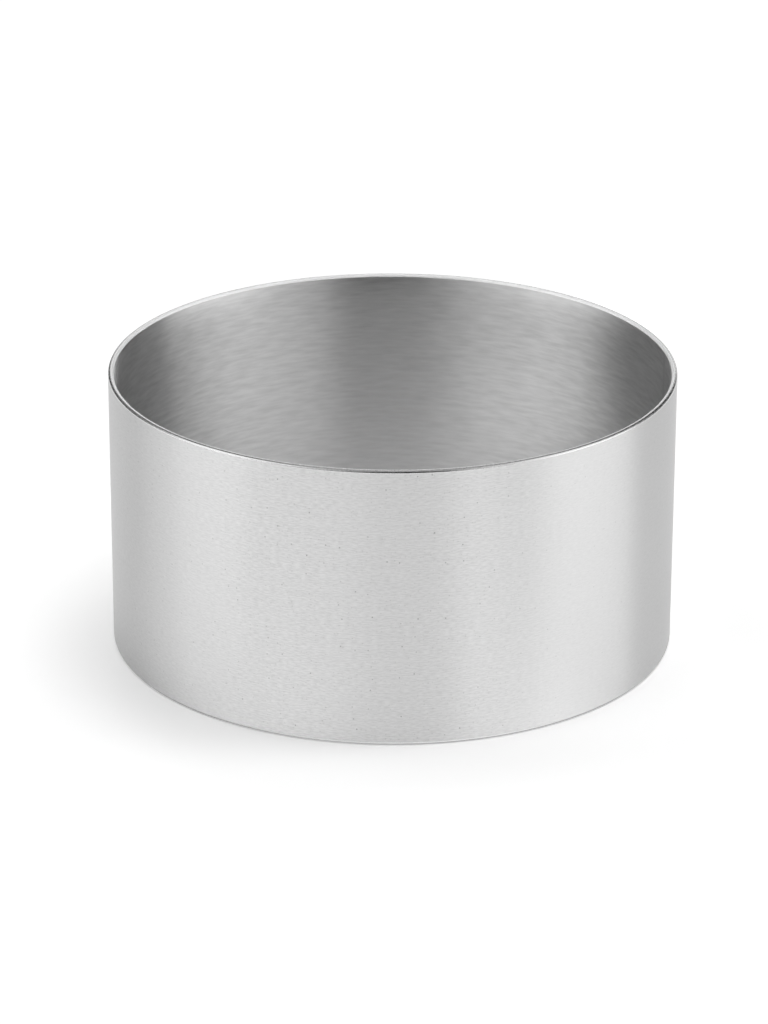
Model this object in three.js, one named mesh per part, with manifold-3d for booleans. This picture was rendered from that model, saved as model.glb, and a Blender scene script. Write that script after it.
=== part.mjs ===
// Food ring: one strip of stainless steel, rolled into a hoop and closed by a butt weld, ground flush.
// Millimetres, +Z up. The origin is the centre of the hoop, in the plane that its lower rim stands on.
// -Y is the front.
import * as THREE from "three";
import { mergeVertices } from "three/addons/utils/BufferGeometryUtils.js";
import Module from "manifold-3d";

const wasm = await Module();
wasm.setup();

// Driving dimensions
const outsideDiameter = 100; // over the outer wall
const ringHeight = 50; // from rim to rim, the width of the strip
const wallThickness = 0.8; // gauge of the strip
const rimLand = 0.2; // flat that each rim keeps between its rounded corners
const weldWidth = 1.2; // weld metal between the two ends of the strip
const fusionGap = 0.05; // clearance between the weld metal and each end of the strip
const seamAngle = THREE.MathUtils.degToRad(10); // place of the weld, anticlockwise from +X

// Fineness of the facets
const hoopFlats = 144; // flats round the hoop
const roundingFlats = 4; // flats in each rounded corner

// Sizes that follow
const outerRadius = outsideDiameter / 2;
const boreRadius = outerRadius - wallThickness;
const rimRounding = (wallThickness - rimLand) / 2; // radius on the four long corners of the strip
const jointWidth = weldWidth + 2 * fusionGap; // distance between the two ends of the strip

const brushedSteel = new THREE.MeshStandardMaterial({ color: 0xd6d6d6, roughness: 0.32, metalness: 1 });
const weldSteel = new THREE.MeshStandardMaterial({ color: 0xcbcbcb, roughness: 0.38, metalness: 1 });

// The strip's cross-section, in radius and height: a tall thin wall with its four corners rounded.
function stripSection() {
  const insideCorner = boreRadius + rimRounding;
  const outsideCorner = outerRadius - rimRounding;
  const lowerCorner = rimRounding;
  const upperCorner = ringHeight - rimRounding;
  const quarter = Math.PI / 2;
  const section = new THREE.Shape();
  section.absarc(outsideCorner, lowerCorner, rimRounding, -quarter, 0);
  section.absarc(outsideCorner, upperCorner, rimRounding, 0, quarter);
  section.absarc(insideCorner, upperCorner, rimRounding, quarter, 2 * quarter);
  section.absarc(insideCorner, lowerCorner, rimRounding, 2 * quarter, 3 * quarter);
  section.closePath();
  return section.getPoints(roundingFlats / 2); // an arc gets two flats for each division
}

// A closed geometry as a solid for cutting.
function solidOf(geometry) {
  geometry.deleteAttribute("normal");
  geometry.deleteAttribute("uv");
  const merged = mergeVertices(geometry);
  const vertProperties = new Float32Array(merged.attributes.position.array);
  const triVerts = new Uint32Array(merged.index.array);
  return new wasm.Manifold(new wasm.Mesh({ numProp: 3, vertProperties, triVerts }));
}

// A cut solid as a named mesh.
function meshOf(solid, name, material) {
  const { vertProperties, triVerts } = solid.getMesh();
  const geometry = new THREE.BufferGeometry();
  geometry.setAttribute("position", new THREE.BufferAttribute(vertProperties, 3));
  geometry.setIndex(new THREE.BufferAttribute(triVerts, 1));
  geometry.computeVertexNormals();
  const mesh = new THREE.Mesh(geometry, material);
  mesh.name = name;
  return mesh;
}

// The whole hoop: the section turned about Z.
function hoop() {
  const turned = new THREE.LatheGeometry(stripSection(), hoopFlats);
  turned.rotateX(Math.PI / 2); // a lathe turns about Y, and the hoop stands on Z
  return solidOf(turned);
}

// An upright slab through the wall at the weld, as wide as asked and clear of both rims and both faces.
function slabAtSeam(width) {
  const overrun = wallThickness;
  const slab = new THREE.BoxGeometry(wallThickness + 2 * overrun, width, ringHeight + 2 * overrun);
  slab.translate(boreRadius + wallThickness / 2, 0, ringHeight / 2);
  slab.rotateZ(seamAngle);
  return solidOf(slab);
}

const wholeHoop = hoop();
const rolledBand = meshOf(wholeHoop.subtract(slabAtSeam(jointWidth)), "rolled_band", brushedSteel);
const weldSeam = meshOf(wholeHoop.intersect(slabAtSeam(weldWidth)), "weld_seam", weldSteel);

const foodRing = new THREE.Group();
foodRing.add(rolledBand, weldSeam);

export default foodRing;
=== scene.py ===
# Food ring: a strip of brushed stainless steel, rolled into a hoop and closed by a flush weld.
import math
from collections import namedtuple
import bpy
from mathutils import Matrix, Vector


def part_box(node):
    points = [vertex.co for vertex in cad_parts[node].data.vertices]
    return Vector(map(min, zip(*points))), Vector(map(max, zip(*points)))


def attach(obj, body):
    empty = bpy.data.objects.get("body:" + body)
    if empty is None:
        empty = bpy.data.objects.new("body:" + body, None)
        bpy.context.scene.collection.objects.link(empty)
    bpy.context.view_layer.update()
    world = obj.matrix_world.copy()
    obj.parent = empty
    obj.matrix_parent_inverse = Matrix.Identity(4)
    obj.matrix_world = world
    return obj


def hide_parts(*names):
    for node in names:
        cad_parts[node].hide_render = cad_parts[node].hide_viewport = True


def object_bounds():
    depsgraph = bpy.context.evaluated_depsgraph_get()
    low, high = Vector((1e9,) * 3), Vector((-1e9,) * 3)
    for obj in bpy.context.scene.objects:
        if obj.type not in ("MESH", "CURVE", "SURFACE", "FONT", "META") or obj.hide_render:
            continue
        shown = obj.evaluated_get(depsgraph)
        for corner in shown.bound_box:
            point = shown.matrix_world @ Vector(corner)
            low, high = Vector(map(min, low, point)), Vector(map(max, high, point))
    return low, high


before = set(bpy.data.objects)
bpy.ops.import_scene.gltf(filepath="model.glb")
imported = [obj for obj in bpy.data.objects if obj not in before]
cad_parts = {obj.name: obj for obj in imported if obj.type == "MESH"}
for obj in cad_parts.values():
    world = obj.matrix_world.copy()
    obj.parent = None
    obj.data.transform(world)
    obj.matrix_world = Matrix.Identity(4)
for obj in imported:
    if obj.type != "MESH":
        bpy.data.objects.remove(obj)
cadLow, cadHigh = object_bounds()
mm = 0.001
outerRadius = (cadHigh.x - cadLow.x) / 2
ringHeight = cadHigh.z - cadLow.z
print(f"frame: hoop {outerRadius / mm * 2:.1f} mm across and {ringHeight / mm:.1f} mm tall")

# Camera

cameraLook = {
    "elevation": 22.097,      # degrees above the floor
    "distance": 769.3 * mm,   # from the middle of the hoop
    "lens": 151.91,           # millimetres
    "sensor": 36.0,           # millimetres, along the tall side
    "nearest": 0.01,          # metres, the range that it sees
    "farthest": 50.0,
    "aimRight": -1.465 * mm,  # the middle of the picture, seen from the middle of the hoop
    "aimUp": -2.562 * mm,
    "roll": 0.153,            # degrees
}


def placeCamera(look):
    data = bpy.data.cameras.new("studioCamera")
    camera = bpy.data.objects.new("studioCamera", data)
    bpy.context.scene.collection.objects.link(camera)
    data.sensor_width = look["sensor"]
    data.lens = look["lens"]
    data.clip_start = look["nearest"]
    data.clip_end = look["farthest"]
    tilt = math.radians(look["elevation"])
    middle = Vector((0, 0, ringHeight / 2))
    back = Vector((0, -math.cos(tilt), math.sin(tilt)))
    up = Vector((0, math.sin(tilt), math.cos(tilt)))
    spot = middle + back * look["distance"]
    aim = middle + Vector((1, 0, 0)) * look["aimRight"] + up * look["aimUp"]
    turn = (aim - spot).to_track_quat("-Z", "Y").to_matrix().to_4x4()
    roll = Matrix.Rotation(math.radians(look["roll"]), 4, "Z")
    camera.matrix_world = Matrix.Translation(spot) @ turn @ roll
    bpy.context.scene.camera = camera


placeCamera(cameraLook)
print("camera placed")

# Nodes, for the finishes and the studio


def newNode(tree, kind, **settings):
    node = tree.nodes.new(kind)
    for setting, value in settings.items():
        setattr(node, setting, value)
    return node


# Links an output into a socket, or sets the socket to a plain number.
def feed(tree, socket, source):
    if isinstance(source, bpy.types.NodeSocket):
        tree.links.new(source, socket)
    else:
        socket.default_value = source


def maths(tree, operation, *sources):
    node = newNode(tree, "ShaderNodeMath", operation=operation)
    for socket, source in zip(node.inputs, sources):
        feed(tree, socket, source)
    return node.outputs[0]


# Brings a value from one range into another, evenly or with eased ends.
def mapTo(tree, value, fromLow, fromHigh, toLow, toHigh, eased=False):
    curve = "SMOOTHSTEP" if eased else "LINEAR"
    node = newNode(tree, "ShaderNodeMapRange", interpolation_type=curve)
    for socket, source in zip(node.inputs, (value, fromLow, fromHigh, toLow, toHigh)):
        feed(tree, socket, source)
    return node.outputs[0]


def splitPlace(tree, place):
    split = newNode(tree, "ShaderNodeSeparateXYZ")
    tree.links.new(place, split.inputs["Vector"])
    return split.outputs


# Degrees from the front, to the right.
def azimuthOf(tree, place):
    forward = maths(tree, "MULTIPLY", place["Y"], -1.0)
    return maths(tree, "DEGREES", maths(tree, "ARCTAN2", place["X"], forward))


# Finishes

outerBrush = {
    "start": 3.0,              # where its noise begins, apart from the other finishes
    "tone": 0.655,             # how much light the steel returns
    "toneSpread": 0.072,       # how far the streaks stray from it
    "roughness": 0.33,
    "roughnessSpread": 0.02,
    "brushed": 1.0,            # how far the brush draws a reflection out
    "fineLength": 1.1,         # streaks, in millimetres along and across the brush
    "fineWidth": 0.21,
    "broadLength": 12.0,
    "broadWidth": 0.6,
    "broadShare": 0.18,        # how much the broad streaks weigh beside the fine ones
    "detail": 2.0,             # finer marks within a streak
    "depth": 0.0030 * mm,
    # how hard the brush bit at the seam, then from where to where it eases to each next level, in degrees
    "bite": {"start": 0.5, "steps": ((222, 256, 1.0), (278, 312, 0.28), (330, 368, 0.5))},
    # pits left by the mill, in millimetres: share is the part of the places that holds one, and tone is
    # the part of the light that a pit takes away
    "pits": {"spacing": 2.6, "size": 0.17, "share": 0.40, "tone": 0.60, "depth": 0.02 * mm},
    "specks": {"spacing": 0.8, "size": 0.18, "share": 0.45, "tone": 0.16, "depth": 0.012 * mm},
}
innerBrush = {
    "start": 11.0,
    "tone": 0.655,
    "toneSpread": 0.066,
    "roughness": 0.44,
    "roughnessSpread": 0.03,
    "brushed": 1.0,
    "fineLength": 4.8,
    "fineWidth": 0.75,
    "broadLength": 16.0,
    "broadWidth": 1.2,
    "broadShare": 0.25,
    "detail": 2.0,
    "depth": 0.0030 * mm,
    "pits": {"spacing": 4.0, "size": 0.12, "share": 0.15, "tone": 0.15, "depth": 0.004 * mm},
    "specks": {"spacing": 1.6, "size": 0.18, "share": 0.20, "tone": 0.03, "depth": 0.002 * mm},
}
lipPolish = {
    "start": 19.0,
    "tone": 0.64,
    "toneSpread": 0.03,
    "roughness": 0.20,
    "roughnessSpread": 0.03,
    "brushed": 0.6,
    "markLength": 1.6,         # nicks and scratches, in millimetres round the hoop and across
    "markWidth": 0.12,
    "detail": 3.0,
    "depth": 0.0006 * mm,
}
# painted shade: the rim's outer rounding and its flat lands get a darker tone than bare steel, which
# draws the dark line along the front rim
rimCutPaintedShade = {
    "start": 21.0,
    "tone": 0.46,
    "toneSpread": 0.03,
    "roughness": 0.27,
    "roughnessSpread": 0.04,
    "brushed": 0.0,
    "markLength": 1.2,
    "markWidth": 0.2,
    "detail": 3.0,
    "depth": 0.0006 * mm,
}
# painted highlight: the inner rounded edges get a lighter tone than bare steel can have, which draws the
# bright band along the back rim; their high roughness is a satin finish
edgeSatinPaintedHighlight = {
    "start": 23.0,
    "tone": 0.97,
    "toneSpread": 0.03,
    "roughness": 0.72,
    "roughnessSpread": 0.04,
    "brushed": 0.0,
    "markLength": 1.2,
    "markWidth": 0.2,
    "detail": 3.0,
    "depth": 0.0006 * mm,
}
weldGrind = {
    "start": 27.0,
    "tone": 0.60,
    "toneSpread": 0.05,
    "roughness": 0.40,
    "roughnessSpread": 0.05,
    "brushed": 0.9,
    "markLength": 1.8,
    "markWidth": 0.14,
    "detail": 3.0,
    "depth": 0.0012 * mm,
}
noiseLow, noiseHigh = 0.3, 0.7   # where nearly all of a noise lies
startStep = 40.0                 # between the noises of one finish
startSlant = 1.7                 # how far up the strip a noise begins for each step along it
pitFloor = 0.35                  # the part of a pit's size that is at its full depth
upTheWall = 0.25                 # of a turn from the run of the brush


# Millimetres along the strip and round its section.
def stripSheet(tree):
    return newNode(tree, "ShaderNodeUVMap", uv_map="brushMap").outputs["UV"]


# A place on the strip, shortened so that one unit is one streak or one cell.
def stripPlace(tree, length, width, start):
    shorten = newNode(tree, "ShaderNodeMapping")
    shorten.inputs["Location"].default_value = (start, start * startSlant, 0.0)
    shorten.inputs["Scale"].default_value = (1 / length, 1 / width, 1.0)
    tree.links.new(stripSheet(tree), shorten.inputs["Vector"])
    return shorten.outputs["Vector"]


def streaks(tree, length, width, start, detail):
    noise = newNode(tree, "ShaderNodeTexNoise", noise_dimensions="2D")
    noise.inputs["Scale"].default_value = 1.0
    noise.inputs["Detail"].default_value = detail
    tree.links.new(stripPlace(tree, length, width, start), noise.inputs["Vector"])
    return noise.outputs["Fac"]


# Pits in some of the cells, each as strong as its own draw.
def pits(tree, spots, start):
    cells = newNode(tree, "ShaderNodeTexVoronoi", voronoi_dimensions="2D", feature="F1")
    cells.inputs["Scale"].default_value = 1.0
    place = stripPlace(tree, spots["spacing"], spots["spacing"], start)
    tree.links.new(place, cells.inputs["Vector"])
    draw = newNode(tree, "ShaderNodeSeparateColor")
    tree.links.new(cells.outputs["Color"], draw.inputs["Color"])
    reach = spots["size"] / spots["spacing"]
    pit = mapTo(tree, cells.outputs["Distance"], reach, reach * pitFloor, 0.0, 1.0, eased=True)
    chosen = maths(tree, "LESS_THAN", draw.outputs["Red"], spots["share"])
    strength = maths(tree, "MULTIPLY", pit, draw.outputs["Green"])
    return maths(tree, "MULTIPLY", strength, chosen)


def biteHere(tree, bite):
    along = splitPlace(tree, stripSheet(tree))["X"]
    turn = maths(tree, "DEGREES", maths(tree, "DIVIDE", along, outerRadius / mm))
    level = bite["start"]
    for low, high, following in bite["steps"]:
        level = mapTo(tree, turn, low, high, level, following, eased=True)
    return level


# Bare steel, brushed round the hoop, so that a reflection is drawn out up and down the wall.
def newSteel(name, look):
    material = bpy.data.materials.new(name)
    material.use_nodes = True
    tree = material.node_tree
    shader = tree.nodes["Principled BSDF"]
    shader.inputs["Metallic"].default_value = 1.0
    along = newNode(tree, "ShaderNodeTangent", direction_type="RADIAL", axis="Z")
    tree.links.new(along.outputs["Tangent"], shader.inputs["Tangent"])
    shader.inputs["Anisotropic"].default_value = look["brushed"]
    shader.inputs["Anisotropic Rotation"].default_value = upTheWall
    return material, tree, shader


# The tone or the roughness, less or more by its spread where the grain is low or high.
def spread(tree, look, quality, grain):
    low = look[quality] - look[quality + "Spread"]
    high = look[quality] + look[quality + "Spread"]
    return mapTo(tree, grain, noiseLow, noiseHigh, low, high)


def carve(tree, shader, height):
    bump = newNode(tree, "ShaderNodeBump")
    bump.inputs["Strength"].default_value = 1.0
    bump.inputs["Distance"].default_value = 1.0
    tree.links.new(height, bump.inputs["Height"])
    tree.links.new(bump.outputs["Normal"], shader.inputs["Normal"])


def brushedWall(name, look):
    material, tree, shader = newSteel(name, look)
    start, share = look["start"], look["broadShare"]
    fine = streaks(tree, look["fineLength"], look["fineWidth"], start, look["detail"])
    broad = streaks(tree, look["broadLength"], look["broadWidth"], start + startStep, look["detail"])
    both = maths(tree, "ADD", maths(tree, "MULTIPLY", fine, 1 - share),
                 maths(tree, "MULTIPLY", broad, share))
    bite = biteHere(tree, look["bite"]) if "bite" in look else 1.0
    both = mapTo(tree, bite, 0.0, 1.0, (noiseLow + noiseHigh) / 2, both)
    kept = 1.0
    height = maths(tree, "MULTIPLY", fine, look["depth"])
    for k, spots in enumerate((look["pits"], look["specks"])):
        marks = maths(tree, "MULTIPLY", pits(tree, spots, start + (2 + k) * startStep), bite)
        kept = maths(tree, "SUBTRACT", kept, maths(tree, "MULTIPLY", marks, spots["tone"]))
        height = maths(tree, "SUBTRACT", height, maths(tree, "MULTIPLY", marks, spots["depth"]))
    colour = maths(tree, "MULTIPLY", spread(tree, look, "tone", both), kept)
    tree.links.new(colour, shader.inputs["Base Color"])
    tree.links.new(spread(tree, look, "roughness", both), shader.inputs["Roughness"])
    carve(tree, shader, height)
    return material


def dressedSteel(name, look):
    material, tree, shader = newSteel(name, look)
    marks = streaks(tree, look["markLength"], look["markWidth"], look["start"], look["detail"])
    tree.links.new(spread(tree, look, "tone", marks), shader.inputs["Base Color"])
    tree.links.new(spread(tree, look, "roughness", marks), shader.inputs["Roughness"])
    carve(tree, shader, maths(tree, "MULTIPLY", marks, look["depth"]))
    return material


outerSteel = brushedWall("outerBrushedSteel", outerBrush)
innerSteel = brushedWall("innerBrushedSteel", innerBrush)
lipSteel = dressedSteel("polishedLipSteel", lipPolish)
rimSteelPaintedShade = dressedSteel("cutRimSteelPaintedShade", rimCutPaintedShade)
edgeSteelPaintedHighlight = dressedSteel("satinEdgeSteelPaintedHighlight", edgeSatinPaintedHighlight)
weldSteel = dressedSteel("groundWeldSteel", weldGrind)
print("steel brushed and polished")

# Hoop: the strip's section, carried round the axis

stripShape = {
    "gauge": 1.0 * mm,      # wall thickness
    "rounding": 0.48 * mm,  # radius on the four long corners
    "cornerSteps": 8,       # faces in each rounded corner
    "lipSteps": 2,          # of them polished, next to the outer wall
    "wallRows": 28,         # faces up each wall, closer together near the rims
    "dressAngle": 23.0,     # degrees that the inner wall's shading leans back at the top, as if dressed
    "dressReach": 2.2 * mm,
    "hoopSteps": 480,       # faces round the hoop
}
weldShape = {
    "width": 1.2 * mm,
    "steps": 4,             # faces across it
}
outerZone, lipZone, rimZone, edgeZone, innerZone = range(5)

# a place on the section, the way it faces, and the zone from there to the next place
sectionPlace = namedtuple("sectionPlace", "radius height out up zone")


# One turn round the section, from the foot of the outer wall.
def stripSection(shape):
    r = shape["rounding"]
    inside = outerRadius - shape["gauge"]
    dress = math.radians(shape["dressAngle"])
    quarter = math.pi / 2
    places = []

    def corner(middleRadius, middleHeight, start, zones):
        for k, zone in enumerate(zones):
            angle = start + quarter * k / len(zones)
            out, up = math.cos(angle), math.sin(angle)
            places.append(sectionPlace(middleRadius + r * out, middleHeight + r * up, out, up, zone))

    def wall(radius, low, high, out, zone):
        for k in range(shape["wallRows"]):
            z = low + (high - low) * (1 - math.cos(math.pi * k / shape["wallRows"])) / 2
            lean = 0.0
            if zone == innerZone:
                lean = dress * math.exp((z - ringHeight + r) / shape["dressReach"])
            places.append(sectionPlace(radius, z, out * math.cos(lean), math.sin(lean), zone))

    outside = [lipZone] * shape["lipSteps"] + [rimZone] * (shape["cornerSteps"] - shape["lipSteps"])
    edge = [edgeZone] * shape["cornerSteps"]
    wall(outerRadius, r, ringHeight - r, 1.0, outerZone)
    corner(outerRadius - r, ringHeight - r, 0.0, outside)
    places.append(sectionPlace(outerRadius - r, ringHeight, 0.0, 1.0, rimZone))
    corner(inside + r, ringHeight - r, quarter, edge)
    wall(inside, ringHeight - r, r, -1.0, innerZone)
    corner(inside + r, r, 2 * quarter, edge)
    places.append(sectionPlace(inside + r, 0.0, 0.0, -1.0, rimZone))
    corner(outerRadius - r, r, 3 * quarter, outside[::-1])
    return places


# A length of the hoop between two angles, closed at its ends, with a material for each zone.
def hoopLength(name, section, fromAngle, toAngle, steps, materials):
    count = len(section)
    along = [0.0]
    for k, here in enumerate(section):
        there = section[(k + 1) % count]
        along.append(along[-1] + math.hypot(there.radius - here.radius, there.height - here.height))
    angles = [fromAngle + (toAngle - fromAngle) * i / steps for i in range(steps + 1)]
    verts, faces, zones, normals, uvs = [], [], [], [], []
    for a in angles:
        for here in section:
            verts.append((here.radius * math.cos(a), here.radius * math.sin(a), here.height))
    for i in range(steps):
        for k in range(count):
            n = (k + 1) % count
            faces.append((i * count + k, (i + 1) * count + k, (i + 1) * count + n, i * count + n))
            zones.append(section[k].zone)
            for step, place, ahead in ((i, k, 0), (i + 1, k, 0), (i + 1, n, 1), (i, n, 1)):
                a, here = angles[step], section[place]
                normals.append((here.out * math.cos(a), here.out * math.sin(a), here.up))
                uvs.append((a * outerRadius / mm, along[k + ahead] / mm))
    for step, side, order in ((0, -1.0, range(count)), (steps, 1.0, reversed(range(count)))):
        a = angles[step]
        faces.append(tuple(step * count + k for k in order))
        zones.append(rimZone)
        for k in faces[-1]:
            normals.append((-side * math.sin(a), side * math.cos(a), 0.0))
            uvs.append((a * outerRadius / mm, along[k - step * count] / mm))
    mesh = bpy.data.meshes.new(name)
    mesh.from_pydata(verts, [], faces)
    layer = mesh.uv_layers.new(name="brushMap")
    layer.uv.foreach_set("vector", [x for uv in uvs for x in uv])
    for material in materials:
        mesh.materials.append(material)
    mesh.polygons.foreach_set("material_index", zones)
    mesh.polygons.foreach_set("use_smooth", [True] * len(faces))
    mesh.normals_split_custom_set(normals)
    mesh.update()
    piece = bpy.data.objects.new(name, mesh)
    bpy.context.scene.collection.objects.link(piece)
    return piece


weldLow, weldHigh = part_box("weld_seam")
weldMiddle = (weldLow + weldHigh) / 2
seamAngle = math.atan2(weldMiddle.y, weldMiddle.x)
halfWeld = weldShape["width"] / 2 / outerRadius
section = stripSection(stripShape)

bandFinishes = [outerSteel, lipSteel, rimSteelPaintedShade, edgeSteelPaintedHighlight, innerSteel]
rolledBand = hoopLength("rolledBand", section, seamAngle + halfWeld, seamAngle + 2 * math.pi - halfWeld,
                        stripShape["hoopSteps"], bandFinishes)
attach(rolledBand, "root")
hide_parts("rolled_band")

weldFinishes = [weldSteel, lipSteel, rimSteelPaintedShade, edgeSteelPaintedHighlight, weldSteel]
weldSeam = hoopLength("weldSeam", section, seamAngle - halfWeld, seamAngle + halfWeld,
                      weldShape["steps"], weldFinishes)
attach(weldSeam, "root")
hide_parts("weld_seam")
print("hoop rolled and welded")

# Floor

floorLook = {
    "halfSide": 3.0,          # metres
    "drop": 0.02 * mm,        # below the rim, so that the two faces don't share a plane
    "tone": 0.80,
    "paintedGlow": 0.373,            # painted light round the hoop that lifts the floor to white, for the camera and the steel; none inside the bore, which leaves painted shade there
    "paintedSideShade": -0.07,        # painted shade and light for the steel alone: less of the glow at the sides, more in front
    "paintedFrontLight": 0.335,
    "frontTurn": 4.0,         # degrees, to the right
    "frontWidth": 34.0,
    "frontSoft": 20.0,
    "paintedBoreLight": 0.56,         # painted light on the bore's floor for the steel alone, down its middle, rising from front to back
    "boreWidth": 9 * mm,
    "boreSoft": 7 * mm,
    "boreFrom": -15 * mm,
    "boreTo": 36 * mm,
}


# The floor's painted light, as the camera and the steel see it.
def paintedFloorGlow(tree, look):
    ray = newNode(tree, "ShaderNodeLightPath")
    mirrored = maths(tree, "MAXIMUM", ray.outputs["Is Glossy Ray"], ray.outputs["Is Transmission Ray"])
    seen = maths(tree, "MAXIMUM", ray.outputs["Is Camera Ray"], mirrored)
    onFloor = newNode(tree, "ShaderNodeTexCoord").outputs["Object"]
    reach = newNode(tree, "ShaderNodeVectorMath", operation="LENGTH")
    tree.links.new(onFloor, reach.inputs[0])
    distance = reach.outputs["Value"]
    place = splitPlace(tree, onFloor)
    inside = outerRadius - stripShape["gauge"]
    # painted light round the hoop, and none inside the bore: painted shade there
    paintedGlow = mapTo(tree, distance, inside, outerRadius, 0.0, look["paintedGlow"])

    # painted light in front and painted shade at the sides, seen only in the steel's reflections
    turn = maths(tree, "ABSOLUTE", maths(tree, "SUBTRACT", azimuthOf(tree, place), look["frontTurn"]))
    wide, soft = look["frontWidth"], look["frontSoft"]
    front = mapTo(tree, turn, wide + soft, wide - soft, look["paintedSideShade"], look["paintedFrontLight"], eased=True)

    # painted light down the middle of the bore floor, rising toward the back, seen only in the steel
    aside = maths(tree, "ABSOLUTE", place["X"])
    wide, soft = look["boreWidth"], look["boreSoft"]
    rise = mapTo(tree, place["Y"], look["boreFrom"], look["boreTo"], 0.0, look["paintedBoreLight"])
    bore = mapTo(tree, aside, wide + soft, wide - soft, 0.0, rise, eased=True)

    # painted light for the steel alone: the bore's inside the hoop, the front's and the sides' outside it
    more = mapTo(tree, distance, inside, outerRadius, bore, front)
    return maths(tree, "ADD", maths(tree, "MULTIPLY", seen, paintedGlow),
                 maths(tree, "MULTIPLY", ray.outputs["Is Glossy Ray"], more))


def layFloor(look):
    s = look["halfSide"]
    mesh = bpy.data.meshes.new("studioFloor")
    mesh.from_pydata([(-s, -s, 0), (s, -s, 0), (s, s, 0), (-s, s, 0)], [], [(0, 1, 2, 3)])
    floor = bpy.data.objects.new("studioFloor", mesh)
    bpy.context.scene.collection.objects.link(floor)
    floor.location.z = cadLow.z - look["drop"]
    material = bpy.data.materials.new("whitePaperWithPaintedLight")
    material.use_nodes = True
    material.cycles.emission_sampling = "NONE"
    tree = material.node_tree
    shader = tree.nodes["Principled BSDF"]
    shader.inputs["Base Color"].default_value = (look["tone"], look["tone"], look["tone"], 1.0)
    shader.inputs["Roughness"].default_value = 1.0
    shader.inputs["Specular IOR Level"].default_value = 0.0
    shader.inputs["Emission Color"].default_value = (1.0, 1.0, 1.0, 1.0)
    tree.links.new(paintedFloorGlow(tree, look), shader.inputs["Emission Strength"])
    mesh.materials.append(material)


layFloor(floorLook)
print("floor laid")

# Studio: lamps for the floor and its shadow, and soft panels that the steel reflects
# Azimuth is in degrees from the front, to the right, and the other angles are in degrees too.

floorLamps = {   # share is the part of the floor's white that a lamp gives
    "highRight": {"azimuth": 95, "elevation": 78, "size": 24, "share": 0.262},
    "highBack":  {"azimuth": 160, "elevation": 65, "size": 24, "share": 0.110},
    "right":     {"azimuth": 95, "elevation": 35, "size": 24, "share": 0.088},
    "back":      {"azimuth": 190, "elevation": 35, "size": 24, "share": 0.055},
    "leftFront": {"azimuth": -60, "elevation": 57, "size": 24, "share": 0.080},
    "leftBack":  {"azimuth": -120, "elevation": 57, "size": 24, "share": 0.080},
}
studioPanels = {   # a side fades out over twice its soft value
    "left":      {"azimuth": -68, "halfWidth": 42, "softLeft": 10, "softRight": 26,
                  "low": 16, "high": 54, "softUp": 5, "strength": 1.90},
    "leftCore":  {"azimuth": -77, "halfWidth": 17, "softLeft": 2, "softRight": 3,
                  "low": 5, "high": 33, "softUp": 3, "strength": 0.74},
    "leftLow":   {"azimuth": -77, "halfWidth": 36, "softLeft": 10, "softRight": 14,
                  "low": -8, "high": 4.6, "softUp": 2, "strength": 2.65},
    "right":     {"azimuth": 89, "halfWidth": 31, "softLeft": 22, "softRight": 32,
                  "low": 2, "high": 58, "softUp": 2.3, "strength": 0.86},
    "rightCore": {"azimuth": 67, "halfWidth": 40, "softLeft": 10, "softRight": 3,
                  "low": 7, "high": 56, "softUp": 4.4, "strength": 1.10},
    "rightLow":  {"azimuth": 84, "halfWidth": 25, "softLeft": 10, "softRight": 7,
                  "low": -7, "high": 4.6, "softUp": 2, "strength": 2.80},
    "backLeft":  {"azimuth": -146, "halfWidth": 30, "softLeft": 10, "softRight": 10,
                  "low": 15, "high": 45, "softUp": 5, "strength": 0.30},
    "backRight": {"azimuth": 162, "halfWidth": 6, "softLeft": 4, "softRight": 4,
                  "low": -5, "high": 16, "softUp": 3, "strength": 1.60},
    "back":      {"azimuth": 180, "halfWidth": 14, "softLeft": 9, "softRight": 9,
                  "low": 12, "high": 50, "softUp": 6, "strength": 1.4},
    "top":       {"azimuth": 180, "halfWidth": 200, "softLeft": 4, "softRight": 4,
                  "low": 61, "high": 110, "softUp": 8, "strength": 0.74},
}


def toward(azimuth, elevation):
    a, e = math.radians(azimuth), math.radians(elevation)
    return Vector((math.cos(e) * math.sin(a), -math.cos(e) * math.cos(a), math.sin(e)))


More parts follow.
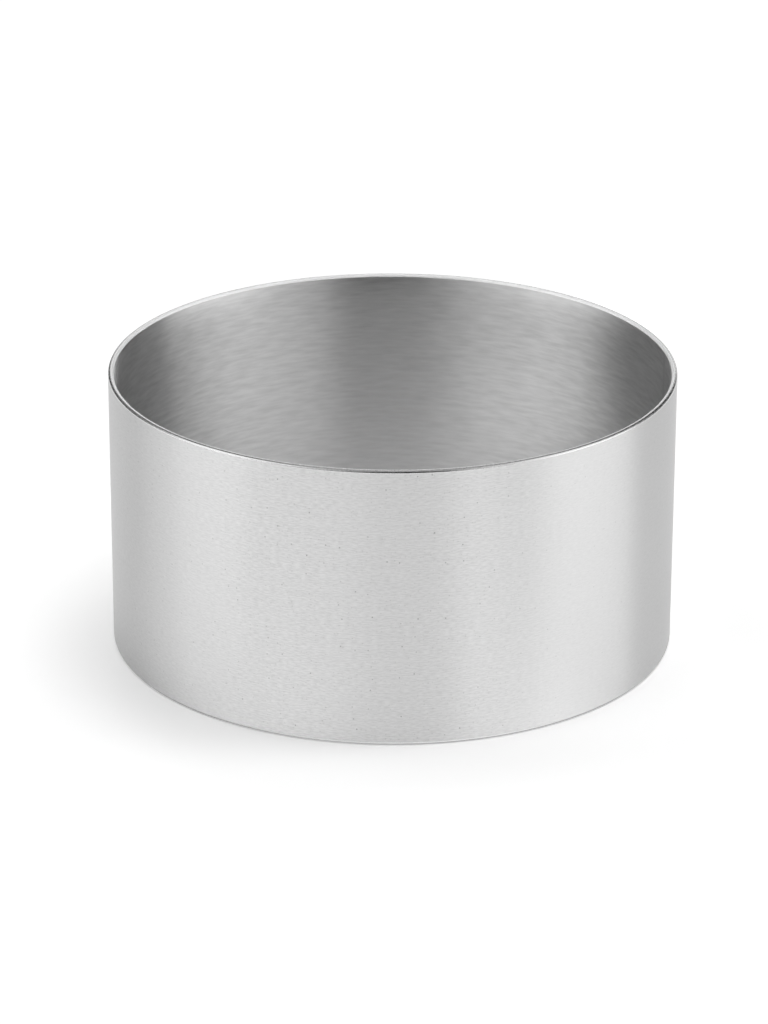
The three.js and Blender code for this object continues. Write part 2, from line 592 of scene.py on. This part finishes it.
# A far lamp that the steel doesn't reflect.
def hangLamp(name, lamp):
    data = bpy.data.lights.new(name, "SUN")
    fall = math.sin(math.radians(lamp["elevation"]))   # how squarely the light meets the floor
    data.energy = lamp["share"] * math.pi / floorLook["tone"] / fall
    data.angle = math.radians(lamp["size"])
    light = bpy.data.objects.new(name, data)
    bpy.context.scene.collection.objects.link(light)
    aim = toward(lamp["azimuth"], lamp["elevation"])
    light.rotation_euler = aim.to_track_quat("Z", "Y").to_euler()
    light.visible_glossy = False


def panelLight(tree, azimuth, elevation, panel):
    turn = maths(tree, "WRAP", maths(tree, "SUBTRACT", azimuth, panel["azimuth"]), 180.0, -180.0)
    half, left, right = panel["halfWidth"], panel["softLeft"], panel["softRight"]
    low, high, ease = panel["low"], panel["high"], panel["softUp"]
    light = panel["strength"]
    for value, dark, bright in ((turn, -half - left, -half + left),
                                (turn, half + right, half - right),
                                (elevation, low - ease, low + ease),
                                (elevation, high + ease, high - ease)):
        fade = mapTo(tree, value, dark, bright, 0.0, 1.0, eased=True)
        light = maths(tree, "MULTIPLY", light, fade)
    return light


# Panels for the steel, plain white for the camera, and no light on the floor.
def lightStudio(panels):
    world = bpy.data.worlds.new("studio")
    bpy.context.scene.world = world
    world.use_nodes = True
    world.cycles.sampling_method = "NONE"
    tree = world.node_tree
    way = splitPlace(tree, newNode(tree, "ShaderNodeTexCoord").outputs["Generated"])
    azimuth = azimuthOf(tree, way)
    elevation = maths(tree, "DEGREES", maths(tree, "ARCSINE", way["Z"]))
    dome = 0.0
    for panel in panels.values():
        dome = maths(tree, "ADD", panelLight(tree, azimuth, elevation, panel), dome)
    ray = newNode(tree, "ShaderNodeLightPath")
    clear = maths(tree, "MAXIMUM", ray.outputs["Is Camera Ray"], ray.outputs["Is Transmission Ray"])
    light = mapTo(tree, ray.outputs["Is Glossy Ray"], 0.0, 1.0, clear, dome)
    background = tree.nodes["Background"]
    background.inputs["Color"].default_value = (1.0, 1.0, 1.0, 1.0)
    tree.links.new(light, background.inputs["Strength"])


for lampName, lamp in floorLamps.items():
    hangLamp(lampName, lamp)
lightStudio(studioPanels)
bpy.context.scene.view_settings.view_transform = "Standard"
print("studio lit")
